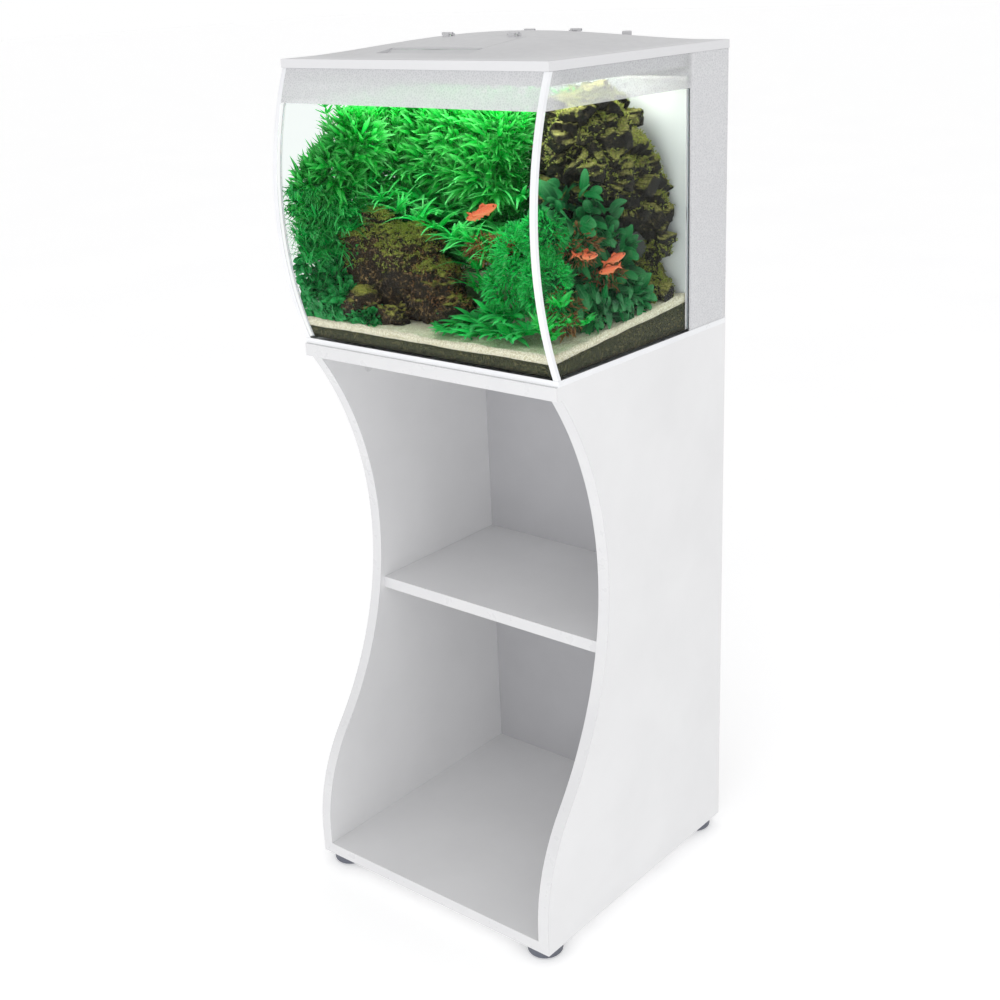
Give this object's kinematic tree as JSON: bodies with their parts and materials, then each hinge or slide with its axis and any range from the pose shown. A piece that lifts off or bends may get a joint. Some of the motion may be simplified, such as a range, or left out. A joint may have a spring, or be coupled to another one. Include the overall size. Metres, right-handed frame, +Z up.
{
  "type": "aquarium on stand",
  "caption": "Small glass aquarium with a bowed front, planted, with a crowned lid, on an open white cabinet stand with an S-curved front and one shelf.",
  "frame": {"origin": "on the floor, under the middle of the footprint", "axes": "+Z up, -Y to the front, +X to the right of someone looking at the front"},
  "size_m": [0.401, 0.404, 1.1082],
  "materials": {
    "panel_white": "satin white melamine",
    "band_white": "satin",
    "panel_grey": "satin grey melamine",
    "beech": "raw",
    "zinc_steel": "satin",
    "foot_grey": "matt moulded",
    "clear_glass": "polished",
    "white_plastic": "satin gloss",
    "lid_plastic": "satin gloss",
    "pattern_film": "translucent, cell patterned",
    "pump_black": "matt",
    "basket_grey": "matt",
    "foam_black": "open cell foam",
    "media_fabric": "fine mesh bag",
    "ceramic_white": "ground",
    "rotor_blue": "matt",
    "led_white": "satin",
    "diffuser": "frosted",
    "soil_dark": "granular",
    "sand_pale": "granular",
    "rock_brown": "rough, mossy",
    "rock_dark": "rough, mossy",
    "leaf_green": "living leaves"
  },
  "bodies": {
    "root": {"bottom_board": "panel_white", "top_board": "panel_white", "side_panel_left": "panel_white", "side_panel_right": "panel_white", "middle_shelf": "panel_white", "back_panel": "panel_grey", "edge_bands_lower": "band_white", "edge_bands_middle": "band_white", "edge_bands_upper": "band_white", "board_edge_bands": "band_white", "wood_dowels": "beech", "base_screws": "zinc_steel", "cam_bolts": "zinc_steel", "cam_locks": "zinc_steel", "cam_caps": "band_white", "foot_front_left": "foot_grey", "foot_front_right": "foot_grey", "foot_rear_left": "foot_grey", "foot_rear_right": "foot_grey", "foot_screws": "zinc_steel", "base_frame": "white_plastic", "glass_front": "clear_glass", "glass_left": "clear_glass", "glass_right": "clear_glass", "glass_rear": "clear_glass", "glass_bottom": "clear_glass", "corner_trim_left": "white_plastic", "corner_trim_right": "white_plastic", "top_frame": "white_plastic", "wrap_front": "pattern_film", "wrap_left": "pattern_film", "wrap_right": "pattern_film", "wrap_rear": "pattern_film", "partition_wall": "white_plastic", "media_basket": "basket_grey", "media_bags": "media_fabric", "foam_block": "foam_black", "pump_body": "pump_black", "pump_cover": "pump_black", "impeller_shaft": "ceramic_white", "outlet_pipe": "pump_black", "soil_layer": "soil_dark", "sand_layer": "sand_pale", "rock_front": "rock_brown", "rock_rear": "rock_dark", "plants": "leaf_green"},
    "lid": {"lid_shell": "lid_plastic", "lid_hinge_pins": "zinc_steel", "led_housing": "white_plastic", "led_board": "led_white", "led_diffuser": "diffuser", "led_screws": "zinc_steel"},
    "feed_door": {"feed_door": "lid_plastic"},
    "filter_hatch": {"filter_hatch": "lid_plastic"},
    "nozzle_ring_left": {"nozzle_ring_left": "white_plastic"},
    "nozzle_ring_right": {"nozzle_ring_right": "white_plastic"},
    "nozzle_tip_left": {"nozzle_tip_left": "white_plastic"},
    "nozzle_tip_right": {"nozzle_tip_right": "white_plastic"},
    "impeller": {"impeller": "rotor_blue"}
  },
  "joints": [
    {"name": "lid_lift", "type": "slide", "parent": "root", "child": "lid", "axis": [0, 0, 1], "range_m": [0, 0.15]},
    {"name": "feed_door_hinge", "type": "hinge", "parent": "lid", "child": "feed_door", "pos_m": [0, -0.0214, 1.10644], "axis": [-1, 0, 0], "range_deg": [0, 100]},
    {"name": "filter_hatch_hinge", "type": "hinge", "parent": "lid", "child": "filter_hatch", "pos_m": [0, 0.1174, 1.10234], "axis": [1, 0, 0], "range_deg": [0, 95]},
    {"name": "impeller_spin", "type": "hinge", "parent": "root", "child": "impeller", "pos_m": [0, 0.15, 0.785], "axis": [0, 1, 0], "continuous": true},
    {"name": "nozzle_turn_left", "type": "hinge", "parent": "root", "child": "nozzle_ring_left", "pos_m": [-0.045, 0.111, 1.012], "axis": [0, -1, 0], "continuous": true},
    {"name": "nozzle_tilt_left", "type": "hinge", "parent": "nozzle_ring_left", "child": "nozzle_tip_left", "pos_m": [-0.045, 0.111, 1.012], "axis": [1, 0, 0], "range_deg": [-20, 20]},
    {"name": "nozzle_turn_right", "type": "hinge", "parent": "root", "child": "nozzle_ring_right", "pos_m": [0.045, 0.111, 1.012], "axis": [0, -1, 0], "continuous": true},
    {"name": "nozzle_tilt_right", "type": "hinge", "parent": "nozzle_ring_right", "child": "nozzle_tip_right", "pos_m": [0.045, 0.111, 1.012], "axis": [1, 0, 0], "range_deg": [-20, 20]}
  ]
}
